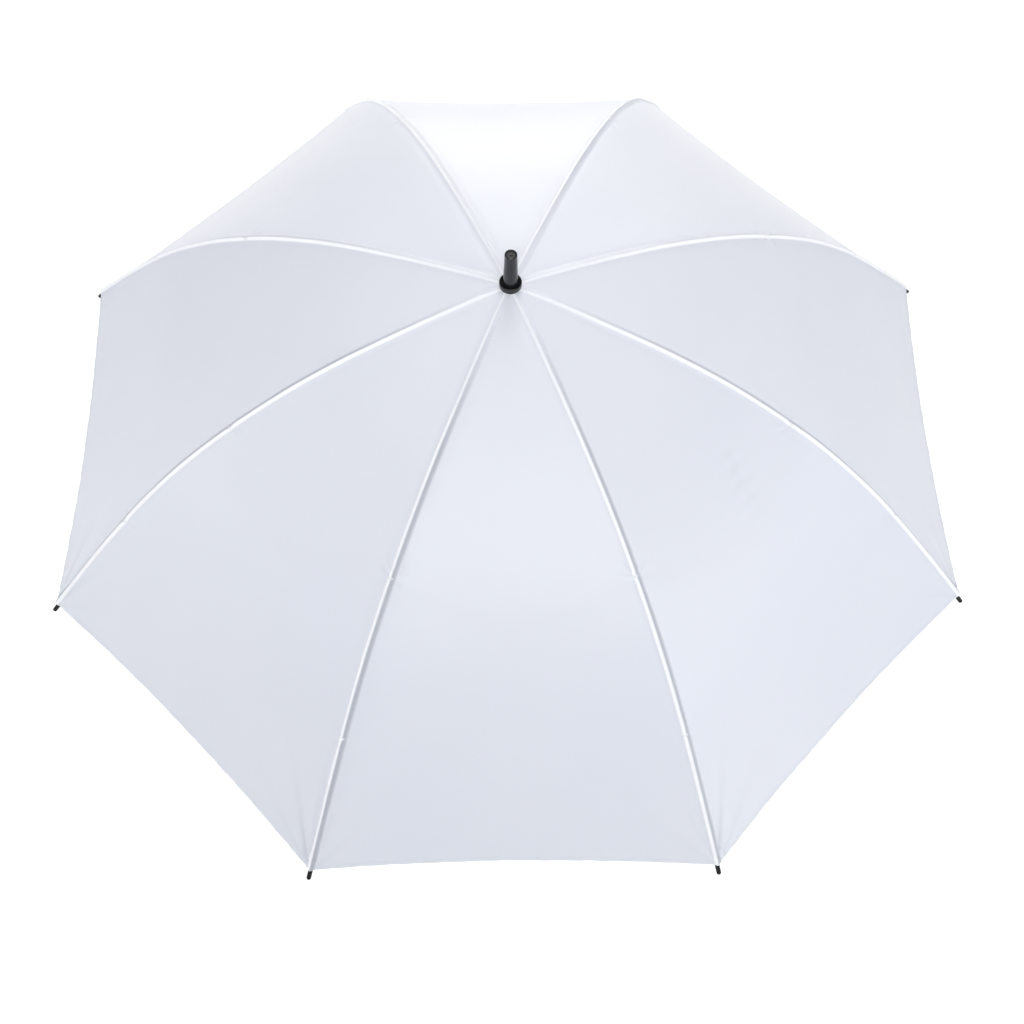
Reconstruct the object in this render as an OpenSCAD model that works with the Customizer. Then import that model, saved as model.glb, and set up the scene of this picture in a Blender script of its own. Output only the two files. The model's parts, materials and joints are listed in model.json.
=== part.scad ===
// Eight-rib photographic umbrella: a white shoot-through canopy that folds on a plain steel shaft.
// +Z runs up the shaft, the origin is the centre of the shaft's lower end, and -Y is the front.

/* [Shaft] */
// Outer diameter of the shaft tube
shaft_d = 10; // [8:0.5:12]
// Wall of the shaft tube
shaft_wall = 0.8; // [0.6:0.1:1.2]
// Height of the ribs' hinge ring above the shaft's lower end
crown_z = 760; // [740:5:900]

/* [Canopy] */
// Radius from the shaft's axis to the canopy's corners
span_r = 500; // [420:10:510]
// Thickness of the canopy's solid
cloth_t = 0.8; // [0.6:0.1:1]
// How far the middle of each panel sinks below a straight line between its ribs
panel_sag = 5; // [0:0.5:8]
// How much shorter each panel is at its middle than along its ribs
hem_cut = 5; // [0:0.5:10]

/* [Rib curve] */
// Slope below the horizontal where the rib leaves the crown
slope_crown = 5.7; // [5:0.1:7.5]
// Slope at the end of the shallow inner stretch
slope_upper = 12.2; // [11:0.1:14]
// Slope at the rib joint
slope_joint = 29.4; // [27:0.1:31]
// Slope at the lower tie
slope_lower = 46.7; // [44:0.1:48]
// Slope at the tip
slope_tip = 50.5; // [50:0.1:52]
// Share of the rib's length at the end of the shallow inner stretch
share_upper = 0.24; // [0.22:0.01:0.26]
// Share of the rib's length at the rib joint
share_joint = 0.485; // [0.46:0.005:0.5]
// Share of the rib's length at the lower tie
share_lower = 0.74; // [0.7:0.01:0.78]

/* [Ribs and stretchers] */
// Width and height of the inner rib's steel channel
channel_w = 3.2; // [3:0.1:3.4]
// Wall of the steel channels
channel_wall = 0.5; // [0.4:0.1:0.8]
// Diameter of the outer rib's glass-fibre rod
rod_d = 3.2; // [2.8:0.1:3.2]
// Radius of the eyes at the rib joint
joint_eye_r = 2; // [1.8:0.1:2]
// Diameter of the rivet through the rib joint
rivet_d = 1.6; // [1.4:0.1:1.8]
// Length of the slot in the stretcher's fork
fork_len = 16; // [15:1:22]
// Length of the black tip that stands clear of the canopy's corner
tip_clear = 14; // [10:0.5:15]
// Outer diameter of the black tip
tip_d = 4.6; // [4.1:0.1:4.8]

/* [Crown and runner] */
// Radius of the two hinge rings
ring_r = 10; // [9.5:0.1:10.5]
// Diameter of the wire of the hinge rings
wire_d = 1.2; // [1:0.1:1.2]
// Diameter of the slotted crown
notch_d = 24; // [24:0.5:26]
// Diameter of the runner's slotted head
head_d = 25; // [24.5:0.5:27]
// Length of the runner's sleeve below its hinge ring
sleeve_len = 34; // [28:1:40]

/* [Ferrule] */
// Outer diameter of the collar that holds the canopy down
collar_d = 20.5; // [19:0.5:22]
// Height of the collar
collar_h = 5.6; // [4.5:0.1:7]
// Diameter of the ferrule at its base
ferrule_base_d = 13.7; // [12.8:0.1:14.5]
// Diameter of the ferrule at its end
ferrule_end_d = 10.9; // [10.6:0.1:12]
// Height of the ferrule above the collar
ferrule_h = 40; // [34:1:48]

/* [Hidden] */
RIBS = 8;
STEP_ANGLE = 360 / RIBS;
HALF_ANGLE = STEP_ANGLE / 2;
function names(stem) = [for (i = [1:RIBS]) str(stem, "_", i)];

$fn = 64;
EPS = 0.01;
ARC_FN = 480;

shaft_r = shaft_d / 2;
bore_r = shaft_r - shaft_wall;

// The canopy lies this far above the ribs' centre line, measured to its outer face
ridge = 3 + cloth_t;

// The rib's centre line is four tangent arcs: their ends as shares of its length, and slopes there
share = [0, share_upper, share_joint, share_lower, 1];
slope = [slope_crown, slope_upper, slope_joint, slope_lower, slope_tip];
RAD = PI / 180;

// Mean run and mean drop per unit length of an arc whose slope goes from a to b
function mean_run(a, b) = abs(b - a) < EPS ? cos(a) : (sin(b) - sin(a)) / ((b - a) * RAD);
function mean_drop(a, b) = abs(b - a) < EPS ? sin(a) : (cos(a) - cos(b)) / ((b - a) * RAD);
function reach(n) =
    n == 0 ? 0 : reach(n - 1) + (share[n] - share[n - 1]) * mean_run(slope[n - 1], slope[n]);

rib_len = (span_r - ridge * sin(slope_tip) - ring_r) / reach(4);
run = rib_len * share;

// Which of the four arcs holds the point at length s, and the slope there
function arc_of(s) = s < run[1] ? 0 : s < run[2] ? 1 : s < run[3] ? 2 : 3;
function slope_at(s) =
    let (k = arc_of(s))
    s >= rib_len ? slope_tip
    : slope[k] + (slope[k + 1] - slope[k]) * (s - run[k]) / (run[k + 1] - run[k]);
function arc_start(k) =
    k == 0 ? [ring_r, crown_z]
    : arc_start(k - 1) + (run[k] - run[k - 1])
      * [mean_run(slope[k - 1], slope[k]), -mean_drop(slope[k - 1], slope[k])];
// Point at length s along the rib, moved out from its centre line by d, as [radius, height]
function rib_point(s, d = 0) =
    let (k = arc_of(s), b = slope_at(s))
    arc_start(k)
    + (s - run[k]) * [mean_run(slope[k], b), -mean_drop(slope[k], b)]
    + d * [sin(b), cos(b)];

// The stretcher is as long as the straight line from hinge ring to rib joint, and both rings
// have one radius, so the runner slides straight down as the ribs fold
joint_s = run[2];
joint_at = rib_point(joint_s);
chord = norm(joint_at - [ring_r, crown_z]);
chord_slope = atan2(crown_z - joint_at[1], joint_at[0] - ring_r);
runner_z = crown_z - 2 * chord * sin(chord_slope);
// The ribs fold by this angle from open to closed
fold = 70;
runner_low_z = crown_z - 2 * chord * sin(chord_slope + fold);

// Clearances: a running hinge, a sliding sleeve and a fixed fit
hinge_gap = 0.05;
slide_gap = 0.08;
eye_r = 1.9;
eye_hole_r = wire_d / 2 + 0.15;
rib_eye_w = 2.4;
arm_eye_w = 2.1;
slot_gap = 0.3;
// The eyes swing in slots that start just inside the hinge ring
slot_in_r = ring_r - eye_r - 0.2;

// Crimps on the ribs
crimp_len = 6;
crimp_wall = 0.4;

// Across the rib joint, from the middle outwards: tongue, cheeks, fork prongs, rivet heads
tongue_w = 1.2;
cheek_in = 0.7;
cheek_out = 1.5;
prong_in = 1.85;
prong_out = 2.65;
rivet_end = 3.15;
rivet_head_r = 1.4;

// Catch: a lever in the shaft whose shoulder holds the open runner up
catch_top_z = runner_z - sleeve_len - 0.6;
catch_len = 26;
catch_w = 2.2;
catch_pin_r = 0.8;
catch_y = -shaft_r / 2;

// The closed runner stands on a retaining ring in a groove
groove_r = shaft_r - 0.35;
lower_ring_h = 1.2;
lower_ring_z = runner_low_z - sleeve_len - 0.5 - lower_ring_h;

collar_z = crown_z + ridge;
ferrule_z = collar_z + collar_h;
shaft_top_z = ferrule_z + 24;

BLACK = [0.06, 0.06, 0.065];
STEEL = [0.72, 0.73, 0.75];
CLOTH = [0.93, 0.94, 0.96];

// Rib 1 is the front right one, and the numbers go on anticlockwise seen from above
module at_rib(i) rotate([0, 0, -90 + HALF_ANGLE + STEP_ANGLE * (i - 1)]) children();

// A ring of rectangular section about the shaft's axis
module band(r_in, r_out, z, h) {
    translate([0, 0, z]) difference() {
        cylinder(r = r_out, h = h);
        translate([0, 0, -1]) cylinder(r = r_in, h = h + 2);
    }
}

module wire_ring(wire_r, z) {
    translate([0, 0, z]) rotate_extrude() translate([ring_r, 0]) circle(r = wire_r);
}

// Carries a 2D section along the rib's centre line; its x points out of the canopy, y across
module along_rib(from, to) {
    for (k = [0:3]) {
        a = max(from, run[k]);
        // an arc runs on a little under the next one, so that the two fuse
        b = to > run[k + 1] + 1 ? run[k + 1] + 0.1 : min(to, run[k + 1]);
        if (b > a + 0.2) {
            rho = (run[k + 1] - run[k]) / ((slope[k + 1] - slope[k]) * RAD);
            centre = arc_start(k) - rho * [sin(slope[k]), cos(slope[k])];
            slope_a = slope[k] + (a - run[k]) / rho / RAD;
            slope_b = slope[k] + (b - run[k]) / rho / RAD;
            translate([centre[0], 0, centre[1]]) rotate([90, 0, 0]) rotate([0, 0, 90 - slope_b])
                rotate_extrude(angle = slope_b - slope_a, $fn = ARC_FN)
                    translate([rho, 0]) children();
        }
    }
}

// A round disc in the rib's plane, centred at p and spanning y0 to y1 across it
module cross_disc(p, r, y0, y1) {
    translate([p[0], y1, p[1]]) rotate([90, 0, 0]) cylinder(r = r, h = y1 - y0);
}

module channel_section() {
    h = channel_w / 2;
    i = h - channel_wall;
    polygon([[-h, -h], [h, -h], [h, h], [-h, h], [-h, i], [i, i], [i, -i], [-h, -i]]);
}

module shaft_tube() {
    color(STEEL) difference() {
        cylinder(r = shaft_r, h = shaft_top_z);
        translate([0, 0, -1]) cylinder(r = bore_r, h = shaft_top_z + 2);
        // groove for the lower retaining ring
        band(groove_r, shaft_r + 1, lower_ring_z - 0.1, lower_ring_h + 0.2);
        // slot and pin hole for the catch
        translate([-catch_w / 2 - 0.2, -shaft_r - 1, catch_top_z - catch_len + 3])
            cube([catch_w + 0.4, shaft_r, catch_len - 1]);
        translate([-shaft_r - 1, catch_y, catch_top_z - catch_len]) rotate([0, 90, 0])
            cylinder(r = catch_pin_r, h = shaft_d + 2, $fn = 32);
    }
}

module end_plug() {
    color(BLACK) difference() {
        cylinder(r = bore_r, h = 16);
        translate([0, 0, 3]) cylinder(r = bore_r - 1.2, h = 20);
        translate([0, 0, -0.4]) cylinder(r1 = bore_r - 0.8, r2 = bore_r - 1.6, h = 0.8);
    }
}

module lower_stop() {
    color(STEEL) difference() {
        band(groove_r + 0.02, shaft_r + 1.4, lower_ring_z, lower_ring_h);
        // the ring is open at the back so that it snaps into its groove
        translate([-1.2, 0, lower_ring_z - 1]) cube([2.4, shaft_d, lower_ring_h + 2]);
    }
}

module upper_stop() {
    color(BLACK) translate([0, 0, runner_z + 4]) difference() {
        union() {
            cylinder(r = shaft_r + 2, h = 3);
            translate([0, 0, 3]) cylinder(r1 = shaft_r + 2, r2 = shaft_r + 1, h = 1);
        }
        translate([0, 0, -1]) cylinder(r = shaft_r, h = 6);
    }
}

// The lever's flat profile, seen from the side: x outwards from the shaft's axis, y up
module catch_profile() {
    low = catch_len;
    polygon([
        [-catch_y + 1.3, -low - 1.6], [-catch_y - 1.3, -low - 1.6], [-catch_y - 1.3, 1],
        [bore_r - 0.4, 1], [bore_r - 0.4, 0], [shaft_r + 3, 0], [shaft_r + 3, -1.2],
        [bore_r - 0.4, -low + 6]
    ]);
}

module catch_lever() {
    color(STEEL) difference() {
        translate([catch_w / 2, 0, catch_top_z]) rotate([90, 0, -90])
            linear_extrude(height = catch_w) catch_profile();
        translate([-catch_w, catch_y, catch_top_z - catch_len]) rotate([0, 90, 0])
            cylinder(r = catch_pin_r + hinge_gap, h = 2 * catch_w, $fn = 32);
    }
}

module catch_pin() {
    half = sqrt(pow(shaft_r, 2) - pow(catch_pin_r - catch_y, 2)) - 0.1;
    color(STEEL) translate([-half, catch_y, catch_top_z - catch_len]) rotate([0, 90, 0])
        cylinder(r = catch_pin_r, h = 2 * half, $fn = 32);
}

// Radial slots for eight eyes, cut from slot_in_r outwards
module eye_slots(width, z, h) {
    for (i = [1:RIBS])
        at_rib(i) translate([slot_in_r, -width / 2, z]) cube([head_d, width, h]);
}

module notch() {
    low = crown_z - 5.5;
    top = crown_z + 1.8;
    color(BLACK) difference() {
        union() {
            translate([0, 0, low + 1]) cylinder(d = notch_d, h = top - low - 1);
            translate([0, 0, low]) cylinder(d1 = notch_d - 2, d2 = notch_d, h = 1);
            translate([0, 0, low - 6]) cylinder(r = shaft_r + 1.8, h = 8);
        }
        translate([0, 0, low - 8]) cylinder(r = shaft_r, h = 20);
        eye_slots(rib_eye_w + 2 * slot_gap, low - 1, top - low + 2);
        wire_ring(wire_d / 2 + hinge_gap, crown_z);
    }
}

module notch_ring() color(STEEL) wire_ring(wire_d / 2, crown_z);

module runner() {
    low = runner_z - sleeve_len;
    color(BLACK) difference() {
        union() {
            translate([0, 0, runner_z - 5.5]) cylinder(d = head_d, h = 9);
            translate([0, 0, runner_z - 8.5]) cylinder(r1 = 7.4, r2 = head_d / 2, h = 3);
            translate([0, 0, low]) cylinder(r = 7.4, h = sleeve_len - 5);
            // grip flare and two ribs for the fingers
            translate([0, 0, low]) cylinder(r = 9.4, h = 3);
            translate([0, 0, low + 3]) cylinder(r1 = 9.4, r2 = 7.4, h = 2.5);
            for (z = [10, 14])
                translate([0, 0, low + z]) cylinder(r = 8, h = 1.6);
        }
        translate([0, 0, low - 1]) cylinder(r = shaft_r + slide_gap, h = sleeve_len + 8);
        eye_slots(arm_eye_w + 2 * slot_gap, runner_z - eye_r - 0.4, 10);
        wire_ring(wire_d / 2 + hinge_gap, runner_z);
    }
}

module runner_ring() color(STEEL) wire_ring(wire_d / 2, runner_z);

// A thin cloth disc that keeps the ribs' heads off the canopy
module inner_rosette() {
    drop = tan(slope_crown);
    edge = ring_r + 5;
    low = crown_z + 2.1;
    color(CLOTH) rotate_extrude() polygon([
        [shaft_r, low], [ring_r, low], [edge, low - drop * 5],
        [edge, low - drop * 5 + 0.5], [ring_r, low + 0.5], [shaft_r, low + 0.5]
    ]);
}

module canopy_crown() {
    color(CLOTH) band(shaft_r, collar_d / 2 - 0.2, crown_z + ridge - cloth_t, cloth_t);
}

module collar() {
    r = collar_d / 2;
    f = ferrule_base_d / 2;
    color(BLACK) translate([0, 0, collar_z]) rotate_extrude(convexity = 6) polygon([
        [shaft_r, 0], [r - 0.3, 0], [r, 0.4], [r, collar_h - 0.8], [r - 0.3, collar_h - 0.2],
        [r - 0.8, collar_h], [r - 1.3, collar_h - 0.2], [f + 0.7, collar_h - 2],
        [f + 0.1, collar_h - 2.4], [shaft_r, collar_h - 2.4]
    ]);
}

module ferrule() {
    base = ferrule_base_d / 2;
    end = ferrule_end_d / 2;
    h = ferrule_h + 2.4;
    deep = shaft_top_z - ferrule_z + 2.4;
    color(BLACK) translate([0, 0, ferrule_z - 2.4]) rotate_extrude(convexity = 6) polygon([
        [shaft_r, 0], [base, 0], [base, 1.5], [end + 0.15, h - 1], [end - 0.15, h - 0.3],
        [end - 0.6, h], [end - 1.1, h - 0.3], [end - 1.5, h - 1.4], [1.2, h - 1.4],
        [0.9, h - 0.9], [0, h - 0.8], [0, deep], [shaft_r, deep]
    ]);
}

module rib_inner(i) {
    block = [channel_w, channel_w];
    saddle_at = rib_point(run[1]);
    saddle_w = channel_w + 2 * crimp_wall;
    // the cheeks are a little lower than the block that they grow from
    cheek_h = channel_w - 0.2;
    color(STEEL) at_rib(i) difference() {
        union() {
            cross_disc([ring_r, crown_z], eye_r, -rib_eye_w / 2, rib_eye_w / 2);
            along_rib(0, 10) square([2.6, rib_eye_w], center = true);
            along_rib(9, 13) square(block, center = true);
            along_rib(12, run[1] - 0.3) channel_section();
            along_rib(run[1] + 0.3, joint_s - 10) channel_section();
            // a crimped saddle where the channel's two stretches meet
            translate([saddle_at[0], 0, saddle_at[1]]) rotate([0, slope_upper, 0])
                cube([crimp_len, saddle_w, saddle_w], center = true);
            along_rib(joint_s - 11, joint_s - 8) square(block, center = true);
            for (side = [-1, 1]) {
                mid = side * (cheek_in + cheek_out) / 2;
                half = (cheek_out - cheek_in) / 2;
                along_rib(joint_s - 9, joint_s) translate([0, mid])
                    square([cheek_h, 2 * half], center = true);
                cross_disc(joint_at, joint_eye_r, mid - half, mid + half);
            }
        }
        cross_disc([ring_r, crown_z], eye_hole_r, -rib_eye_w, rib_eye_w);
        cross_disc(joint_at, rivet_d / 2 + hinge_gap, -channel_w, channel_w);
    }
}

module rib_outer(i) {
    tie_s = run[3];
    tie_at = rib_point(tie_s);
    color([0.9, 0.9, 0.88]) at_rib(i) difference() {
        union() {
            cross_disc(joint_at, joint_eye_r, -tongue_w / 2, tongue_w / 2);
            along_rib(joint_s, joint_s + 7) square([3, tongue_w], center = true);
            along_rib(joint_s + 4, tie_s - 0.3) circle(d = rod_d, $fn = 24);
            along_rib(tie_s + 0.3, rib_len) circle(d = rod_d, $fn = 24);
            // a crimped sleeve where the lower tie holds the cloth
            translate([tie_at[0], 0, tie_at[1]]) rotate([0, 90 + slope_lower, 0])
                cylinder(d = rod_d + 2 * crimp_wall, h = crimp_len, center = true);
        }
        cross_disc(joint_at, rivet_d / 2 + hinge_gap, -tongue_w, tongue_w);
    }
}

// The arm lies along local +X from the rib joint to the runner's ring
module stretcher_arm() {
    eye_start = chord - 9;
    difference() {
        union() {
            for (side = [-1, 1]) {
                mid = side * (prong_in + prong_out) / 2;
                t = prong_out - prong_in;
                cross_disc([0, 0], joint_eye_r, mid - t / 2, mid + t / 2);
                translate([0, mid - t / 2, -1.6]) cube([fork_len, t, 3.2]);
            }
            translate([fork_len - 1, -prong_out, -1.6]) cube([5, 2 * prong_out, 3.2]);
            difference() {
                translate([fork_len, -channel_w / 2, -1.6]) cube([eye_start - fork_len, channel_w, 3.2]);
                translate([fork_len + 5, channel_wall - channel_w / 2, channel_wall - 1.6])
                    cube([eye_start - fork_len - 8, channel_w - 2 * channel_wall, 4]);
            }
            translate([eye_start - 1, -arm_eye_w / 2, -1.3]) cube([10, arm_eye_w, 2.6]);
            cross_disc([chord, 0], eye_r, -arm_eye_w / 2, arm_eye_w / 2);
        }
        cross_disc([0, 0], rivet_d / 2 + 0.03, -prong_out - 1, prong_out + 1);
        cross_disc([chord, 0], eye_hole_r, -arm_eye_w, arm_eye_w);
    }
}

// The rivet is loose in the fork by a hair, so it stays a solid of its own
module joint_rivet() {
    cross_disc([0, 0], rivet_d / 2, -rivet_end, rivet_end);
    cross_disc([0, 0], rivet_head_r, prong_out + 0.03, rivet_end);
    cross_disc([0, 0], rivet_head_r, -rivet_end, -prong_out - 0.03);
}

module stretcher(i) {
    color(STEEL) at_rib(i) translate([joint_at[0], 0, joint_at[1]])
        rotate([0, 180 - chord_slope, 0]) {
            stretcher_arm();
            joint_rivet();
        }
}

module rib_tip(i) {
    socket = 8;
    r = tip_d / 2;
    end = rib_point(rib_len);
    color(BLACK) at_rib(i) translate([end[0], 0, end[1]]) rotate([0, 90 + slope_tip, 0])
        difference() {
            union() {
                translate([0, 0, -socket]) cylinder(r1 = r - 0.3, r2 = r, h = 2);
                translate([0, 0, 2 - socket]) cylinder(r = r, h = socket - 2 + tip_clear - r);
                translate([0, 0, tip_clear - r]) sphere(r = r);
            }
            translate([0, 0, -socket - 1]) cylinder(d = rod_d + 0.1, h = socket + 1.4);
        }
}

// One rib's share of the canopy, out to the middle of the panel on each side of the rib
ALONG = 12;
ACROSS = 8;
first_s = 0.6;
// Outer point of the canopy: t from 0 at the crown to 1 at the hem, g from -1 to 1 across
function cloth_point(t, g, under) =
    let (
        a = abs(g),
        bulge = a * (2 - a),
        s = first_s + t * (rib_len - first_s - hem_cut * bulge),
        th = slope_at(s),
        sag = panel_sag * pow(sin(90 * s / rib_len), 2) * bulge,
        p = rib_point(s, ridge) - sag * [sin(th), cos(th)],
        mid = p[0] * cos(HALF_ANGLE),
        x = p[0] + a * (mid * cos(HALF_ANGLE) - p[0]),
        y = a * mid * sin(HALF_ANGLE),
        edge = a > 1 - EPS ? 0.05 : 0
    )
    [x + edge * sin(HALF_ANGLE), sign(g) * (y - edge * cos(HALF_ANGLE)),
     p[1] - (under ? cloth_t / cos(th) : 0)];

module canopy(i) {
    row = ACROSS + 1;
    layer = row * (ALONG + 1);
    points = [for (under = [false, true]) for (j = [0:ALONG]) for (k = [0:ACROSS])
        cloth_point(j / ALONG, 2 * k / ACROSS - 1, under)];
    quads = concat(
        [for (j = [0:ALONG - 1]) for (k = [0:ACROSS - 1])
            let (n = j * row + k) [n, n + row, n + row + 1, n + 1]],
        [for (j = [0:ALONG - 1]) for (k = [0:ACROSS - 1])
            let (n = layer + j * row + k) [n, n + 1, n + row + 1, n + row]],
        [for (k = [0:ACROSS - 1]) [k, k + 1, layer + k + 1, layer + k]],
        [for (k = [0:ACROSS - 1])
            let (n = ALONG * row + k) [n + 1, n, layer + n, layer + n + 1]],
        [for (j = [0:ALONG - 1])
            let (n = j * row) [n + row, n, layer + n, layer + n + row]],
        [for (j = [0:ALONG - 1])
            let (n = j * row + ACROSS) [n, n + row, layer + n + row, layer + n]]);
    triangles = [for (q = quads) each [[q[0], q[1], q[2]], [q[0], q[2], q[3]]]];
    color(CLOTH) at_rib(i) polyhedron(points = points, faces = triangles, convexity = 4);
}

shaft_tube();
end_plug();
lower_stop();
catch_lever();
catch_pin();
upper_stop();
runner();
runner_ring();
notch();
notch_ring();
inner_rosette();
canopy_crown();
collar();
ferrule();
for (i = [1:RIBS]) {
    rib_inner(i);
    rib_outer(i);
    stretcher(i);
    rib_tip(i);
    canopy(i);
}
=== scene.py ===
"""White eight-rib photographic umbrella: its cloth, finishes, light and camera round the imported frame.

Lengths in the cloth's formulas are millimetres, as in the CAD source, and become metres in the meshes.
"""

import json
import math

import bpy
import numpy as np
from mathutils import Matrix, Vector


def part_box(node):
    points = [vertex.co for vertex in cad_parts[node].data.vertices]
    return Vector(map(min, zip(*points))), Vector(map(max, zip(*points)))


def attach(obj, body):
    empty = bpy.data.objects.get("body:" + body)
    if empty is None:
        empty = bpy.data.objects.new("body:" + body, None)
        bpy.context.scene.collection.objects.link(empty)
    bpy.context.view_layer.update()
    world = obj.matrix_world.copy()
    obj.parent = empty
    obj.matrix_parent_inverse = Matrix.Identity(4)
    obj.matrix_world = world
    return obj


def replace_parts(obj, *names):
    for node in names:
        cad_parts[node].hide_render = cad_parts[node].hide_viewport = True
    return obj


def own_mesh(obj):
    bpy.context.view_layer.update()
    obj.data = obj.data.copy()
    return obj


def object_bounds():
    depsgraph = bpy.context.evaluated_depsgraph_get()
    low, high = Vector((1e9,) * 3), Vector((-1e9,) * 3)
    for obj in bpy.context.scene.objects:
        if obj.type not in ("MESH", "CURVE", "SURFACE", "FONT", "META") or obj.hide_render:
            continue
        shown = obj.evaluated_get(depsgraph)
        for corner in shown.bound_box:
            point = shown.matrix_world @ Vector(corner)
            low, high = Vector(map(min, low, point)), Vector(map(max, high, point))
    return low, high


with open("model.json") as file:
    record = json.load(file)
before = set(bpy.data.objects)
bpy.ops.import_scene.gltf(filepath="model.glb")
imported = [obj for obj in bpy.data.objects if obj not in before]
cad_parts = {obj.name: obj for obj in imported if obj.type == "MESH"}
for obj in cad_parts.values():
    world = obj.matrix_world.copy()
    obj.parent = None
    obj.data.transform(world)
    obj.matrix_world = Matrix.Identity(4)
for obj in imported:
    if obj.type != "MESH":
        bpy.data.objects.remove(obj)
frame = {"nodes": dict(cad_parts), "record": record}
cad_low, cad_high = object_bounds()

MM = 0.001
RIBS = range(1, 9)

# The CAD source's driving sizes for the canopy
SPAN_R = 500.0
CROWN_Z = 760.0
RING_R = 10.0
RIDGE = 3.8
PANEL_SAG = 5.0
HEM_CUT = 5.0
SHARE = np.array([0, 0.24, 0.485, 0.74, 1.0])
SLOPE = np.radians([5.7, 12.2, 29.4, 46.7, 50.5])
STEP_ANGLE = math.radians(45)
HALF_ANGLE = STEP_ANGLE / 2

# Slopes closer than this count as equal, and the steps over which the two surfaces' normals are taken
SAME_SLOPE = 1e-6
BASE_STEP = 0.1
SURFACE_STEP = 0.3

# The visible cloth starts under the collar, and it turns over each rib with a soft ridge
FIRST_S = -0.4
CLOTH_T = 0.4
RIDGE_HALF = 4.0

# For each rib, as the photograph shows them: the side to which its seam is lapped (1: away from the
# previous rib), which is also the side of the painted shade band beside the seam, how strongly that painted
# shade band shows, and the side of its deeper tip folds
LAP = {1: 1, 2: 1, 3: 1, 4: -1, 5: -1, 6: -1, 7: -1, 8: 1}
SEAM_SHADE_STRENGTH = {1: 0.8, 2: 0.85, 3: 0.45, 4: 0.35, 5: 0.3, 6: 0.6, 7: 1.0, 8: 0.95}
FOLDED = {1: 1, 2: 1, 3: 1, 4: 1, 5: -1, 6: -1, 7: -1, 8: -1}

# The seam: a bead over the rib, a dip on each side of it, and the lapped layer between its two edges
BEAD_H, BEAD_HALF = 1.9, 2.2
DIP_H, DIP_AT, DIP_HALF = 0.3, 6.5, 3.5
LAP_H = 0.45
LAP_EDGES = ((-0.8, 0.8), (4.6, 5.4))

# The hem: the step of the layer turned under and where it ends, how far the rim rolls in, and a ripple
HEM_H = 0.35
HEM_EDGE = (3.4, 4.6)
HEM_ROLL = 0.6
HEM_RIPPLE = 0.22

# Folds that fan out from a point just beyond each tip: height, angular frequency, shift per rib, half
# spread in radians and reach; then the shift on the side of the previous rib, and the share of the
# height that is left on the side that FOLDED doesn't name
FAN_BEYOND_TIP = 4
TIP_FOLDS = ((1.3, 30, 0.9, 0.42, 40), (2.6, 11, 1.3, 0.9, 30))
PREVIOUS_SIDE_SHIFT = 1.7
SHALLOW_SIDE = 0.3

# Short creases on one front panel: the middle of the group, the direction it runs in, its half sizes, the
# creases' height, and how far their painted shade darkens the cloth
CREASES_AT = (203, -158)
CREASES_ALONG = (0.6, -0.8)
CREASES_HALF = (25, 11)
CREASES_H = 0.4
CREASE_SHADE = 0.35

# Puckers where the cloth is gathered under the collar
PUCKERS = 24
PUCKER_H = 0.22
PUCKER_REACH = 8

# Each petal is cut across at the rib joint, on a slant, and its inner piece runs on under the outer one
SPLIT_SLANT = 38.0
UNDER_STEP = 0.3
UNDER_DEPTH = 0.55
UNDER_RUN = (1.0, 12.0)
COLUMNS = 44

# Threads that tie the cloth to a rib: how far before the rib joint the upper one sits, the turns of
# thread and the loop that they make, and the dimple and wrinkles that they draw in the cloth
TIE_BEFORE_JOINT = 6.5
TIE_THREAD_R = 0.28
TIE_PITCH = 0.75
TIE_SLANT = 0.10
TIE_HALF_WIDTH = 2.7
TIE_BOTTOM = -2.4
TIE_GAP = 0.1
DIMPLE_H = 1.25
DIMPLE_HALF = (3.4, 3.2)
TIE_WRINKLE_H = (0.34, 0.24)
TIE_WRINKLE_AT = 9
TIE_WRINKLE_HALF = 6


# ---------------------------------------------------------------- the canopy's shape

def mean_run(a, b):
    """Mean outward run per unit length of an arc whose slope goes from a to b."""
    d = np.where(np.abs(b - a) < SAME_SLOPE, SAME_SLOPE, b - a)
    return (np.sin(a + d) - np.sin(a)) / d


def mean_drop(a, b):
    """Mean drop per unit length of an arc whose slope goes from a to b."""
    d = np.where(np.abs(b - a) < SAME_SLOPE, SAME_SLOPE, b - a)
    return (np.cos(a) - np.cos(a + d)) / d


REACH = np.sum(np.diff(SHARE) * mean_run(SLOPE[:-1], SLOPE[1:]))
RIB_LEN = (SPAN_R - RIDGE * math.sin(SLOPE[-1]) - RING_R) / REACH
RUN = RIB_LEN * SHARE
KNOT_R = RING_R + np.concatenate([[0], np.cumsum(np.diff(RUN) * mean_run(SLOPE[:-1], SLOPE[1:]))])
KNOT_Z = CROWN_Z - np.concatenate([[0], np.cumsum(np.diff(RUN) * mean_drop(SLOPE[:-1], SLOPE[1:]))])
JOINT_S = RUN[2]
TIES = (JOINT_S - TIE_BEFORE_JOINT, RUN[3])


def rib_point(s, out):
    """Radius, height and slope at length s along a rib, out mm above its centre line."""
    s = np.asarray(s, float)
    k = np.clip(np.searchsorted(RUN, s, side="right") - 1, 0, 3)
    slope = np.interp(s, RUN, SLOPE)
    step = s - RUN[k]
    r = KNOT_R[k] + step * mean_run(SLOPE[k], slope) + out * np.sin(slope)
    z = KNOT_Z[k] - step * mean_drop(SLOPE[k], slope) + out * np.cos(slope)
    return r, z, slope


def half_width(s):
    """Distance along the cloth from a rib to the middle of the next panel."""
    return rib_point(s, RIDGE)[0] * math.sin(HALF_ANGLE)


def smooth(x, low, high):
    """A step from 0 at low to 1 at high, with soft ends."""
    t = np.clip((x - low) / (high - low), 0, 1)
    return t * t * (3 - 2 * t)


def bump(x, width):
    """A bell of height 1 at 0, down to 1/e at width."""
    return np.exp(-(x / width) ** 2)


def hem_s(g):
    """Where the hem lies along the rib's length, for share g of the way to mid-panel."""
    a = np.abs(g)
    return RIB_LEN - HEM_CUT * a * (2 - a)


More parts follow.
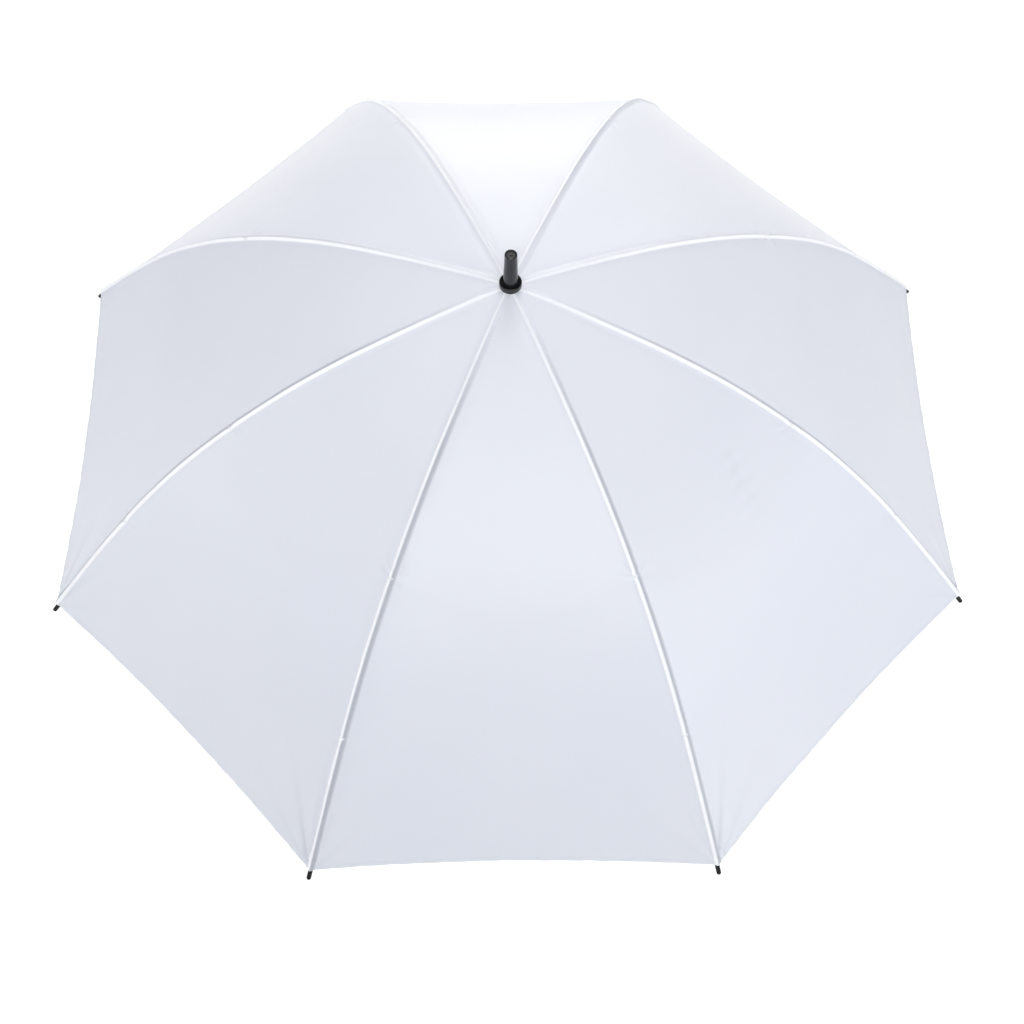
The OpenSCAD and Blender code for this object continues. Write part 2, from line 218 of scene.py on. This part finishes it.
def azimuth(i):
    """Direction of rib i, seen from above, counter-clockwise from +x."""
    return -math.pi / 2 + HALF_ANGLE + STEP_ANGLE * (i - 1)


def base(i, s, g):
    """The taut canopy without seams or wrinkles. g runs from -1 to 1 across rib i's petal."""
    width = np.minimum(RIDGE_HALF / half_width(s), 0.8)
    a = np.abs(g)
    a = np.where(a < width, (a * a + width * width) / (2 * width), a)
    bulge = a * (2 - a)
    r, z, slope = rib_point(s, RIDGE)
    sag = PANEL_SAG * np.sin(math.pi / 2 * np.clip(s / RIB_LEN, 0, 1)) ** 2 * bulge
    r = r - sag * np.sin(slope)
    z = z - sag * np.cos(slope)
    x = r * (1 - a * math.sin(HALF_ANGLE) ** 2)
    y = g * r * math.cos(HALF_ANGLE) * math.sin(HALF_ANGLE)
    c, d = math.cos(azimuth(i)), math.sin(azimuth(i))
    return np.stack([x * c - y * d, x * d + y * c, z], -1)


def unit(v):
    return v / np.linalg.norm(v, axis=-1, keepdims=True)


def base_normal(i, s, g):
    """The outward normal of the taut canopy."""
    ds, dg = BASE_STEP, BASE_STEP / half_width(s)
    along = base(i, s + ds, g) - base(i, s - ds, g)
    across = base(i, s, g + dg) - base(i, s, g - dg)
    return unit(np.cross(along, across))


def creases(p):
    """A few short creases, left by folding, on one front panel."""
    x, y = p[..., 0] - CREASES_AT[0], p[..., 1] - CREASES_AT[1]
    c, d = CREASES_ALONG
    u = c * x + d * y
    v = c * y - d * x
    return np.cos(0.48 * u + 0.05 * v) * bump(u, CREASES_HALF[0]) * bump(v, CREASES_HALF[1])


def waves(p):
    """A faint slow unevenness of stretched cloth, the same for every petal at one place, and the creases."""
    x, y, z = p[..., 0], p[..., 1], p[..., 2]
    total = 0.30 * np.sin(0.031 * x + 0.017 * y + 1.1) * np.sin(0.043 * z - 0.012 * x + 0.4)
    total += 0.22 * np.sin(0.058 * y - 0.026 * x + 2.3) * np.cos(0.037 * x + 0.02 * z)
    total += 0.12 * np.sin(0.094 * x + 0.071 * y + 0.9) * np.sin(0.083 * y - 0.05 * z)
    return total + CREASES_H * creases(p)


def tip_folds(i, s, y):
    """Soft folds that fan out from the corner, where the hem pulls on the tip."""
    u = RIB_LEN + FAN_BEYOND_TIP - s
    side = np.abs(y)
    far = np.hypot(y, u)
    turn = np.arctan2(side, u)
    shift = np.where(y > 0, 0.0, PREVIOUS_SIDE_SHIFT)
    folds = 0
    for height, count, per_rib, spread, reach in TIP_FOLDS:
        wave = np.sin(count * turn + per_rib * i + shift)
        folds = folds + height * wave * bump(turn, spread) * np.exp(-far / reach)
    folds *= np.where(y * FOLDED[i] > 0, 1.0, SHALLOW_SIDE)
    return folds * smooth(side, 1.5, 4) * smooth(far, 4, 14)


def relief(i, s, g, p):
    """How far the cloth stands out from the taut surface: seams, ties, wrinkles, hem and puckers."""
    y = g * half_width(s)
    side = np.abs(y)
    room = smooth(half_width(s), 4, 14)
    bead = BEAD_H * bump(y, BEAD_HALF) - DIP_H * bump(side - DIP_AT, DIP_HALF)
    lap = LAP[i] * y
    lapped = LAP_H * (smooth(lap, *LAP_EDGES[0]) - smooth(lap, *LAP_EDGES[1]))
    height = room * (bead + lapped)
    for n, tie in enumerate(TIES):
        u = s - tie
        far = np.hypot(0.8 * y, u)
        turn = np.arctan2(y, u)
        height -= DIMPLE_H * bump(y, DIMPLE_HALF[0]) * bump(u, DIMPLE_HALF[1])
        wrinkles = np.cos(7 * turn + 1.3 * i + 2 * n) * bump(far - TIE_WRINKLE_AT, TIE_WRINKLE_HALF)
        height += TIE_WRINKLE_H[n] * wrinkles
    height += tip_folds(i, s, y)
    # the hem is turned under once, its rim rolls in, and it ripples a little between the ribs
    edge = hem_s(g) - s
    inside = np.maximum(edge, 0)
    height += HEM_H * (1 - smooth(edge, *HEM_EDGE)) - HEM_ROLL * np.exp(-inside / 0.7)
    height += HEM_RIPPLE * np.sin(0.23 * y + 0.8 * i) * np.exp(-inside / 9) * smooth(side, 8, 30)
    round_angle = np.arctan2(p[..., 1], p[..., 0])
    r = np.hypot(p[..., 0], p[..., 1])
    uneven = PUCKERS * round_angle + 1.6 * np.sin(3 * round_angle + 0.5)
    height += PUCKER_H * np.cos(uneven) * np.exp(-np.maximum(r - RING_R, 0) / PUCKER_REACH)
    settle = smooth(r, RING_R, 40)
    return height + settle * waves(p)


def surface(i, s, g):
    """The cloth's outer face, with its seams and wrinkles."""
    p = base(i, s, g)
    return p + relief(i, s, g, p)[..., None] * base_normal(i, s, g)


def surface_normal(i, s, g):
    """The outward normal of the cloth's outer face."""
    ds, dg = SURFACE_STEP, SURFACE_STEP / half_width(s)
    along = surface(i, s + ds, g) - surface(i, s - ds, g)
    across = surface(i, s, g + dg) - surface(i, s, g - dg)
    return unit(np.cross(along, across))


# ---------------------------------------------------------------- meshes

def new_object(name, verts, faces):
    mesh = bpy.data.meshes.new(name)
    mesh.from_pydata(np.asarray(verts).tolist(), [], faces)
    mesh.update()
    ob = bpy.data.objects.new(name, mesh)
    bpy.context.scene.collection.objects.link(ob)
    return ob


def graded(start, end, step, spots):
    """Stations from start to end about step apart, and closer round each spot (place, reach, step)."""
    s = np.linspace(start, end, 4001)
    density = np.full_like(s, 1 / step)
    for place, reach, fine in spots:
        density = np.maximum(density, bump(s - place, reach) / fine)
    total = np.concatenate([[0], np.cumsum((density[1:] + density[:-1]) / 2 * np.diff(s))])
    return np.interp(np.linspace(0, total[-1], int(total[-1]) + 2), total, s)


ACROSS = np.linspace(-1, 1, 2 * COLUMNS + 1)
ACROSS = np.sign(ACROSS) * np.abs(ACROSS) ** 1.5
INNER_ROWS = graded(FIRST_S, JOINT_S, 6, [(RING_R, 26, 1.8), (TIES[0], 9, 1.2)])
OUTER_ROWS = graded(JOINT_S, RIB_LEN, 6, [(TIES[1], 9, 1.2), (RIB_LEN - 25, 28, 3), (RIB_LEN, 5, 0.6)])


def petal_grid(part):
    """The stations (s, g) of a petal's inner or outer piece, and how deep each row is tucked under."""
    g = ACROSS[None, :]
    split = JOINT_S + SPLIT_SLANT * np.abs(g)
    if part == "outer":
        share = (OUTER_ROWS[:, None] - JOINT_S) / (RIB_LEN - JOINT_S)
        s = split + share * (hem_s(g) - split)
        return s, np.broadcast_to(g, s.shape), np.zeros(len(OUTER_ROWS))
    share = (INNER_ROWS[:, None] - FIRST_S) / (JOINT_S - FIRST_S)
    s = FIRST_S + share * (split - FIRST_S)
    # the inner piece runs on under the outer one, so that no gap opens as the rib straightens
    run_on = UNDER_RUN[0] + UNDER_RUN[1] * np.abs(g)
    tail = [split + UNDER_STEP, split + run_on / 2, split + run_on]
    s = np.concatenate([s, *tail])
    depth = np.concatenate([np.zeros(len(INNER_ROWS)), np.full(len(tail), UNDER_DEPTH)])
    return s, np.broadcast_to(g, s.shape), depth


def sheet_faces(rows, cols):
    """Quads of a closed sheet: the outer layer, the inner layer and the walls between them."""
    n = np.arange(rows * cols).reshape(rows, cols)
    under = n + rows * cols
    a, b, c, d = n[:-1, :-1], n[1:, :-1], n[1:, 1:], n[:-1, 1:]
    top = np.stack([a, b, c, d], -1).reshape(-1, 4)
    low = (top + rows * cols)[:, ::-1]
    rim = np.concatenate([n[0, :-1], n[:-1, -1], n[-1, :0:-1], n[:0:-1, 0]])
    walls = np.stack([rim, np.roll(rim, -1), np.roll(rim, -1) + under[0, 0], rim + under[0, 0]], -1)
    return top, low, walls


def make_petal(i, part):
    s, g, depth = petal_grid(part)
    point = surface(i, s, g)
    normal = surface_normal(i, s, g)
    outer = point - depth[:, None, None] * normal
    inner = outer - CLOTH_T * normal
    verts = np.concatenate([outer.reshape(-1, 3), inner.reshape(-1, 3)]) * MM
    top, low, walls = sheet_faces(*s.shape)
    faces = np.concatenate([top, low, walls])
    ob = new_object(f"canopy_{part}_{i}", verts, faces.tolist())
    mesh = ob.data
    mesh.shade_smooth()
    n = normal.reshape(-1, 3)
    wall_normal = unit(np.cross(verts[walls[:, 1]] - verts[walls[:, 0]],
                                verts[walls[:, 3]] - verts[walls[:, 0]]))
    corners = np.concatenate([
        n[top].reshape(-1, 3),
        -n[low - len(n)].reshape(-1, 3),
        np.repeat(wall_normal, 4, axis=0),
    ])
    mesh.normals_split_custom_set(corners.tolist())
    # cloth coordinates in metres: across from the seam, towards its lap, and along from the crown
    across = LAP[i] * (g * half_width(s)).reshape(-1) * MM
    along = s.reshape(-1) * MM
    corner_vertex = faces.reshape(-1) % len(n)
    uv = mesh.uv_layers.new(name="thread")
    uv.data.foreach_set("uv", np.stack([across, along], -1)[corner_vertex].ravel())
    # for the cloth's shader: the distance from the hem, the strength of the painted shade band beside the
    # seam, and the painted shade in the fold valleys
    edge = (hem_s(g) - s).reshape(-1) * MM
    hem = mesh.attributes.new("hem", "FLOAT", "POINT")
    hem.data.foreach_set("value", np.tile(edge, 2).astype(np.float32))
    # painted shade: how strongly the grey band beside this rib's seam is painted
    shade = mesh.attributes.new("shade", "FLOAT", "POINT")
    shade.data.foreach_set("value", np.full(len(verts), SEAM_SHADE_STRENGTH[i], np.float32))
    # painted shade: the cloth is darkened in the valleys of the tip folds and of the creases
    low_places = -tip_folds(i, s, g * half_width(s)) - CREASE_SHADE * creases(point)
    fold_shade_amount = np.clip(low_places, 0, 1).reshape(-1)
    painted_fold_shade = mesh.attributes.new("painted_fold_shade", "FLOAT", "POINT")
    painted_fold_shade.data.foreach_set("value", np.tile(fold_shade_amount, 2).astype(np.float32))
    return ob, outer * MM


def tube_ring(centre, u, v, radius_u, radius_v, wire, around=28, section=8):
    """A closed loop of thread: an ellipse in the plane of u and v, of round section."""
    t = np.linspace(0, 2 * math.pi, around, endpoint=False)[:, None]
    spine = centre + radius_u * np.cos(t) * u + radius_v * np.sin(t) * v
    outward = unit(radius_v * np.cos(t) * u + radius_u * np.sin(t) * v)
    side = np.cross(u, v)
    q = np.linspace(0, 2 * math.pi, section, endpoint=False)
    points = spine[:, None, :] + wire * (
        np.cos(q)[None, :, None] * outward[:, None, :] + np.sin(q)[None, :, None] * side)
    n = np.arange(around * section).reshape(around, section)
    ahead = np.roll(n, -1, axis=0)
    faces = np.stack([n, ahead, np.roll(ahead, -1, axis=1), np.roll(n, -1, axis=1)], -1)
    return points.reshape(-1, 3), faces.reshape(-1, 4)


def make_tie(i, which, s, body):
    """Three turns of thread that hold the seam down on the rib."""
    r, z, slope = (float(x) for x in rib_point(s, 0))
    c, d = math.cos(azimuth(i)), math.sin(azimuth(i))
    along = np.array([c * math.cos(slope), d * math.cos(slope), -math.sin(slope)])
    up = np.array([c * math.sin(slope), d * math.sin(slope), math.cos(slope)])
    across = np.array([-d, c, 0])
    top = float(np.dot(surface(i, np.array([s]), np.array([0.0]))[0] - [r * c, r * d, z], up))
    middle = np.array([r * c, r * d, z]) + up * (top + TIE_GAP + TIE_BOTTOM) / 2
    half_height = (top + TIE_GAP - TIE_BOTTOM) / 2
    points, faces, start = [], [], 0
    for turn in (-1, 0, 1):
        tilt = unit(across + TIE_SLANT * turn * along)
        place = middle + TIE_PITCH * turn * along
        p, f = tube_ring(place, tilt, up, TIE_HALF_WIDTH, half_height, TIE_THREAD_R)
        points.append(p)
        faces.append(f + start)
        start += len(p)
    ob = new_object(f"tie_{which}_{i}", np.concatenate(points) * MM, np.concatenate(faces).tolist())
    ob.data.shade_smooth()
    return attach(ob, body)


def make_rosette():
    """The cloth disc inside the crown, with a pinked edge and a slight dish."""
    _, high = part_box("inner_rosette")
    inner_r = 5.1 * MM
    outer_r = high.x
    teeth, per_tooth = 36, 4
    tooth_depth = 0.9 * MM
    dish = 0.5 * MM
    ripple = 0.08 * MM
    gap = 0.02 * MM
    thickness = 0.35 * MM
    rings = 7
    turn = np.linspace(0, 2 * math.pi, teeth * per_tooth, endpoint=False)
    tooth = np.abs((np.arange(len(turn)) % per_tooth) - per_tooth / 2) / (per_tooth / 2)
    grid = []
    for k in range(rings):
        share = k / (rings - 1)
        r = inner_r + share * (outer_r - inner_r) - (tooth_depth * tooth if k == rings - 1 else 0)
        drop = dish * smooth(share, 0.5, 1.0) + ripple * np.sin(9 * turn) * share
        grid.append(np.stack([r * np.cos(turn), r * np.sin(turn), high.z - gap - drop], -1))
    top = np.concatenate(grid)
    verts = np.concatenate([top, top - [0, 0, thickness]])
    cols = len(turn)
    n = np.arange(rings * cols).reshape(rings, cols)
    ahead = np.roll(n, -1, axis=1)
    up = np.stack([n[:-1], n[1:], ahead[1:], ahead[:-1]], -1).reshape(-1, 4)
    down = (up + rings * cols)[:, ::-1]
    outer = np.stack([n[-1], n[-1] + rings * cols, ahead[-1] + rings * cols, ahead[-1]], -1)
    inner = np.stack([n[0], ahead[0], ahead[0] + rings * cols, n[0] + rings * cols], -1)
    ob = new_object("crown_rosette", verts, np.concatenate([up, down, outer, inner]).tolist())
    ob.data.shade_smooth()
    ob.data.set_sharp_from_angle(angle=math.radians(40))
    uv = ob.data.uv_layers.new(name="thread")
    corner = np.array([loop.vertex_index for loop in ob.data.loops])
    uv.data.foreach_set("uv", (verts[corner][:, :2] + 0.02).ravel())
    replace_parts(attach(ob, "shaft"), "inner_rosette")
    return ob


# ---------------------------------------------------------------- materials

class Shader:
    """A node material with a Principled shader, and short calls for the nodes that drive it."""

    def __init__(self, name, color, roughness, **fixed):
        self.material = bpy.data.materials.new(name)
        self.material.use_nodes = True
        self.tree = self.material.node_tree
        self.shader = self.tree.nodes["Principled BSDF"]
        self.shader.inputs["Base Color"].default_value = (*color, 1)
        self.shader.inputs["Roughness"].default_value = roughness
        for socket, value in fixed.items():
            self.shader.inputs[socket.replace("_", " ")].default_value = value

    def node(self, kind, **settings):
        made = self.tree.nodes.new("ShaderNode" + kind)
        for key, value in settings.items():
            setattr(made, key, value)
        return made

    def link(self, out, into):
        self.tree.links.new(out, into)

    def math(self, operation, *values):
        made = self.node("Math", operation=operation)
        for k, value in enumerate(values):
            if isinstance(value, (int, float)):
                made.inputs[k].default_value = value
            else:
                self.link(value, made.inputs[k])
        return made.outputs[0]

    def place(self, stretch=(1, 1, 1)):
        """Object coordinates, which lie in the shared frame, stretched."""
        coordinates = self.node("TexCoord")
        mapping = self.node("Mapping")
        mapping.inputs["Scale"].default_value = stretch
        self.link(coordinates.outputs["Object"], mapping.inputs["Vector"])
        return mapping.outputs["Vector"]

    def noise(self, vector, scale, detail):
        made = self.node("TexNoise")
        made.inputs["Scale"].default_value = scale
        made.inputs["Detail"].default_value = detail
        self.link(vector, made.inputs["Vector"])
        return made.outputs["Fac"]

    def ramp(self, value, low, high):
        made = self.node("MapRange")
        made.inputs["To Min"].default_value = low
        made.inputs["To Max"].default_value = high
        self.link(value, made.inputs["Value"])
        return made.outputs["Result"]

    def step(self, value, start, full):
        """A ramp from 0 at start to 1 at full, held beyond them."""
        made = self.node("MapRange")
        made.inputs["From Min"].default_value = start
        made.inputs["From Max"].default_value = full
        self.link(value, made.inputs["Value"])
        return made.outputs["Result"]

    def mix(self, value, low, high):
        """A colour that goes from low to high with value; each is a colour or a socket."""
        made = self.node("Mix", data_type="RGBA")
        colors = [socket for socket in made.inputs if socket.type == "RGBA"]
        for socket, color in zip(colors, (low, high)):
            if isinstance(color, tuple):
                socket.default_value = (*color, 1)
            else:
                self.link(color, socket)
        self.link(value, made.inputs["Factor"])
        return next(out for out in made.outputs if out.type == "RGBA")

    def tint(self, value, low, high):
        """The base colour goes from low to high with value."""
        self.link(self.mix(value, low, high), self.shader.inputs["Base Color"])

    def rough(self, value, low, high):
        self.link(self.ramp(value, low, high), self.shader.inputs["Roughness"])

    def bump(self, height, distance, strength):
        made = self.node("Bump")
        made.inputs["Distance"].default_value = distance
        made.inputs["Strength"].default_value = strength
        self.link(height, made.inputs["Height"])
        self.link(made.outputs["Normal"], self.shader.inputs["Normal"])


# In metres: the pitch of the weave and of the stitches, the share of a stitch that shows and half its
# width, and how far the two stitched lines lie from the seam and from the hem
WEAVE_PITCH = 0.00055
STITCH_PITCH = 0.0026
STITCH_SHARE = 0.72
STITCH_HALF = 0.00028
SEAM_LINE = 0.0042
HEM_LINE = 0.0034
TRANSLUCENT = 0.13

# Painted on the cloth to match the photograph's seams, as painted highlight and painted shade: where, across
# a seam in metres, the white highlight line and the grey shade band beside it fade in and out, and where,
# along from the crown, each of them comes up in full
SEAM_HIGHLIGHT_EDGES = ((-0.0033, -0.002), (0.0002, -0.0004))
SEAM_SHADE_EDGES = ((0.0001, 0.0009), (0.0054, 0.0026))
SEAM_HIGHLIGHT_COMES_UP = (0.02, 0.15)
SEAM_SHADE_COMES_UP = (0.02, 0.16)
SEAM_HIGHLIGHT_AT_CROWN = 0.6

# The cloth's colours: its cloudy range, the painted shade in the valleys of folds and creases, the painted
# shade of the grey band, the painted highlight of the white line
PANEL_DARK = (0.700, 0.728, 0.802)
PANEL_LIGHT = (0.752, 0.772, 0.829)
FOLD_SHADE_TINT = (0.63, 0.655, 0.72)
SEAM_SHADE_TINT = (0.43, 0.45, 0.51)
SEAM_HIGHLIGHT_TINT = (0.96, 0.975, 1.0)


def cloth_material():
    """Closely woven satin polyester: cool white, a little light comes through, stitched seams and hem; a
    painted highlight and painted shade run along each seam, and painted shade lies in the valleys of folds
    and creases.
    """
    m = Shader("white_cloth", (0.73, 0.75, 0.82), 0.42, Sheen_Weight=0.15, Sheen_Roughness=0.35,
               Specular_IOR_Level=0.5)
    uv = m.node("UVMap", uv_map="thread")
    split = m.node("SeparateXYZ")
    m.link(uv.outputs["UV"], split.inputs["Vector"])
    across, along = split.outputs["X"], split.outputs["Y"]
    hem = m.node("Attribute", attribute_name="hem").outputs["Fac"]
    turns = 2 * math.pi / WEAVE_PITCH
    warp = m.math("SINE", m.math("MULTIPLY", across, turns))
    weft = m.math("SINE", m.math("MULTIPLY", along, turns))
    weave = m.math("MULTIPLY", m.math("MULTIPLY", warp, weft), 0.25)
    slub = m.noise(m.place(), 900, 2)
    height = m.math("ADD", weave, m.math("MULTIPLY", slub, 0.35))

    def stitches(distance, line, run):
        near = m.math("COMPARE", distance, line, STITCH_HALF)
        phase = m.math("FRACT", m.math("DIVIDE", run, STITCH_PITCH))
        return m.math("MULTIPLY", near, m.math("LESS_THAN", phase, STITCH_SHARE))

    sewn = m.math("MAXIMUM", stitches(across, SEAM_LINE, along), stitches(hem, HEM_LINE, across))
    height = m.math("ADD", height, m.math("MULTIPLY", sewn, 1.6))
    m.bump(height, 0.00012, 0.6)
    cloudy = m.noise(m.place(), 5, 2)
    panel = m.mix(cloudy, PANEL_DARK, PANEL_LIGHT)
    # painted shade in the valleys of folds and creases
    painted_fold_shade = m.node("Attribute", attribute_name="painted_fold_shade").outputs["Fac"]
    panel = m.mix(painted_fold_shade, panel, FOLD_SHADE_TINT)
    # painted highlight and painted shade: one edge of the seam is painted whiter, and beside it runs a
    # painted soft grey band of shade
    white = m.math("MULTIPLY", m.step(across, *SEAM_HIGHLIGHT_EDGES[0]), m.step(across, *SEAM_HIGHLIGHT_EDGES[1]))
    white = m.math("MULTIPLY", white, m.ramp(m.step(along, *SEAM_HIGHLIGHT_COMES_UP), SEAM_HIGHLIGHT_AT_CROWN, 1.0))
    grey = m.math("MULTIPLY", m.step(across, *SEAM_SHADE_EDGES[0]), m.step(across, *SEAM_SHADE_EDGES[1]))
    grey = m.math("MULTIPLY", grey, m.step(along, *SEAM_SHADE_COMES_UP))
    grey = m.math("MULTIPLY", grey, m.node("Attribute", attribute_name="shade").outputs["Fac"])
    color = m.mix(white, m.mix(grey, panel, SEAM_SHADE_TINT), SEAM_HIGHLIGHT_TINT)
    m.link(color, m.shader.inputs["Base Color"])
    m.rough(slub, 0.36, 0.5)
    through = m.node("BsdfTranslucent")
    m.link(color, through.inputs["Color"])
    both = m.node("MixShader")
    both.inputs["Fac"].default_value = TRANSLUCENT
    m.link(m.shader.outputs[0], both.inputs[1])
    m.link(through.outputs[0], both.inputs[2])
    out = m.tree.nodes["Material Output"]
    m.link(both.outputs[0], out.inputs["Surface"])
    return m.material


def thread_material():
    m = Shader("sewing_thread", (0.86, 0.87, 0.9), 0.55, Sheen_Weight=0.3)
    twist = m.noise(m.place((1, 1, 3)), 1400, 2)
    m.tint(twist, (0.78, 0.79, 0.83), (0.9, 0.91, 0.93))
    m.bump(twist, 0.0002, 0.7)
    return m.material


def plated_material():
    m = Shader("plated_steel", (0.62, 0.63, 0.65), 0.22, Metallic=1.0)
    drawn = m.noise(m.place((1, 1, 0.02)), 1500, 4)
    cloud = m.noise(m.place(), 60, 3)
    m.tint(cloud, (0.56, 0.57, 0.59), (0.68, 0.69, 0.71))
    m.rough(drawn, 0.14, 0.34)
    m.bump(drawn, 0.00005, 0.4)
    return m.material


def spring_material():
    m = Shader("spring_steel", (0.42, 0.43, 0.45), 0.35, Metallic=1.0)
    grain = m.noise(m.place((6, 1, 0.1)), 900, 4)
    m.tint(grain, (0.36, 0.37, 0.39), (0.48, 0.49, 0.5))
    m.rough(grain, 0.25, 0.5)
    m.bump(grain, 0.00005, 0.4)
    return m.material


def nylon_material():
    m = Shader("black_nylon", (0.028, 0.028, 0.03), 0.55, Specular_IOR_Level=0.4)
    grain = m.noise(m.place(), 1600, 3)
    wear = m.noise(m.place(), 130, 4)
    m.tint(wear, (0.02, 0.02, 0.022), (0.04, 0.04, 0.043))
    m.rough(grain, 0.45, 0.68)
    m.bump(grain, 0.0001, 0.5)
    return m.material


def gloss_material(name, shine):
    """Satin black moulding of the ferrule and the collar, and the duller one of the rib tips."""
    m = Shader(name, (0.012, 0.012, 0.013), 0.28, Specular_IOR_Level=shine)
    grain = m.noise(m.place(), 1100, 3)
    cloud = m.noise(m.place(), 90, 3)
    m.tint(cloud, (0.009, 0.009, 0.01), (0.018, 0.018, 0.02))
    m.rough(grain, 0.15, 0.25)
    m.bump(grain, 0.00007, 0.35)
    return m.material


def glass_fibre_material():
    """Pale drawn rod, whose fibres show as faint streaks."""
    m = Shader("glass_fibre", (0.8, 0.8, 0.74), 0.35, Specular_IOR_Level=0.5)
    streak = m.noise(m.place((1, 1, 0.12)), 700, 5)
    m.tint(streak, (0.72, 0.72, 0.65), (0.86, 0.86, 0.81))
    m.rough(streak, 0.26, 0.46)
    m.bump(streak, 0.00008, 0.4)
    return m.material


MATERIALS = {
    "white_cloth": cloth_material(),
    "plated_steel": plated_material(),
    "spring_steel": spring_material(),
    "black_nylon": nylon_material(),
    "black_gloss_plastic": gloss_material("black_gloss_plastic", 0.45),
    "glass_fibre": glass_fibre_material(),
}
THREAD = thread_material()
TIP_PLASTIC = gloss_material("black_tip_plastic", 0.08)


def finish_with(ob, material):
    ob.data.materials.clear()
    ob.data.materials.append(material)
    return ob


for subpart in frame["record"]["subparts"]:
    name = subpart["node"]
    material = TIP_PLASTIC if name.startswith("rib_tip") else MATERIALS[subpart["material_slot"]]
    finish_with(frame["nodes"][name], material)

# ---------------------------------------------------------------- pieces

finish_with(make_rosette(), MATERIALS["white_cloth"])
for i in RIBS:
    for part, body, rib in (
            ("inner", f"rib_{i}", f"rib_inner_{i}"),
            ("outer", f"rib_end_{i}", f"rib_outer_{i}")):
        petal, whole = make_petal(i, part)
        finish_with(petal, MATERIALS["white_cloth"])
        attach(petal, body)
        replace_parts(petal, f"canopy_{i}")
        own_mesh(petal)
    finish_with(make_tie(i, "upper", TIES[0], f"rib_{i}"), THREAD)
    finish_with(make_tie(i, "lower", TIES[1], f"rib_end_{i}"), THREAD)

# ---------------------------------------------------------------- floor, light and camera

# The floor: half its side, its gap under the object and its own glow
FLOOR_HALF = 30.0
FLOOR_GAP = 0.002
FLOOR_GLOW = 0.85

# The surround's strength and its colours straight down and straight up, and the colours of the lights
WORLD_STRENGTH = 0.12
WORLD_DOWN = (0.50, 0.51, 0.54)
WORLD_UP = (0.95, 0.95, 0.96)
WHITE, WARM, COOL = (1, 1, 1), (1.0, 0.98, 0.95), (0.97, 0.98, 1.0)

# The camera's lens, place and turn in degrees: the rounded result of fitting it to the photograph
LENS = 47.1
SENSOR = 36
CAMERA_AT = (-0.020, -0.706, 1.759)
CAMERA_TURN = (-2.16, 25.75, 1.47)


def make_floor():
    """A pale floor that glows a little, so that it stays even."""
    side = FLOOR_HALF
    z = cad_low.z - FLOOR_GAP
    corners = [(-side, -side, z), (side, -side, z), (side, side, z), (-side, side, z)]
    ob = new_object("floor", corners, [(0, 1, 2, 3)])
    m = Shader("floor", (0.4, 0.4, 0.4), 0.9, Emission_Strength=FLOOR_GLOW, Specular_IOR_Level=0.0)
    m.shader.inputs["Emission Color"].default_value = (1, 1, 1, 1)
    ob.data.materials.append(m.material)


def make_world():
    """Soft studio surround: brighter overhead than near the floor."""
    world = bpy.data.worlds.new("studio")
    bpy.context.scene.world = world
    world.use_nodes = True
    tree = world.node_tree
    background = tree.nodes["Background"]
    coordinates = tree.nodes.new("ShaderNodeTexCoord")
    split = tree.nodes.new("ShaderNodeSeparateXYZ")
    ramp = tree.nodes.new("ShaderNodeValToRGB")
    ramp.color_ramp.elements[0].position = 0.0
    ramp.color_ramp.elements[0].color = (*WORLD_DOWN, 1)
    ramp.color_ramp.elements[1].position = 1.0
    ramp.color_ramp.elements[1].color = (*WORLD_UP, 1)
    half = tree.nodes.new("ShaderNodeMath")
    half.operation = "MULTIPLY_ADD"
    half.inputs[1].default_value = 0.5
    half.inputs[2].default_value = 0.5
    tree.links.new(coordinates.outputs["Generated"], split.inputs["Vector"])
    tree.links.new(split.outputs["Z"], half.inputs[0])
    tree.links.new(half.outputs[0], ramp.inputs["Fac"])
    tree.links.new(ramp.outputs["Color"], background.inputs["Color"])
    background.inputs["Strength"].default_value = WORLD_STRENGTH


def make_light(name, where, target, size, power, color):
    """A round area light that faces the target."""
    data = bpy.data.lights.new(name, "AREA")
    data.shape = "DISK"
    data.size = size
    data.energy = power
    data.color = color
    ob = bpy.data.objects.new(name, data)
    bpy.context.scene.collection.objects.link(ob)
    ob.location = where
    aim = np.array(target) - np.array(where)
    ob.rotation_mode = "QUATERNION"
    ob.rotation_quaternion = Vector(aim).to_track_quat("-Z", "Y")


def make_camera():
    """At the photograph's viewing angle: high in front, looking down on the canopy."""
    data = bpy.data.cameras.new("camera")
    data.lens = LENS
    data.sensor_width = SENSOR
    ob = bpy.data.objects.new("camera", data)
    bpy.context.scene.collection.objects.link(ob)
    place = Matrix.Translation(CAMERA_AT)
    yaw, pitch, roll = (math.radians(a) for a in CAMERA_TURN)
    turn = Matrix.Rotation(yaw, 4, "Z") @ Matrix.Rotation(pitch, 4, "X") @ Matrix.Rotation(roll, 4, "Z")
    ob.matrix_world = place @ turn
    bpy.context.scene.camera = ob


make_floor()
make_world()
crown = (0, 0, CROWN_Z * MM)
# Each light's name, place, width in metres, power in watts and colour
for name, place, size, power, color in (
        ("key", (0.0, -1.6, 3.2), 1.6, 43, WHITE),
        ("top", (0.0, 0.0, 3.6), 2.0, 26, WHITE),
        ("back_high", (0.1, 2.0, 2.6), 0.9, 14, WARM),
        ("back_low", (0.2, 3.2, 1.4), 1.8, 61, WARM),
        ("left_high", (-3.0, -0.3, 1.6), 1.2, 23, COOL),
        ("left_low", (-2.6, -1.0, 0.95), 0.8, 8, COOL),
        ("right", (3.0, -0.3, 1.6), 1.2, 9, COOL),
        ("front_right", (2.2, -1.8, 1.6), 1.2, 28, COOL)):
    make_light(name, place, crown, size, power, color)
make_camera()
bpy.context.scene.view_settings.view_transform = "Standard"
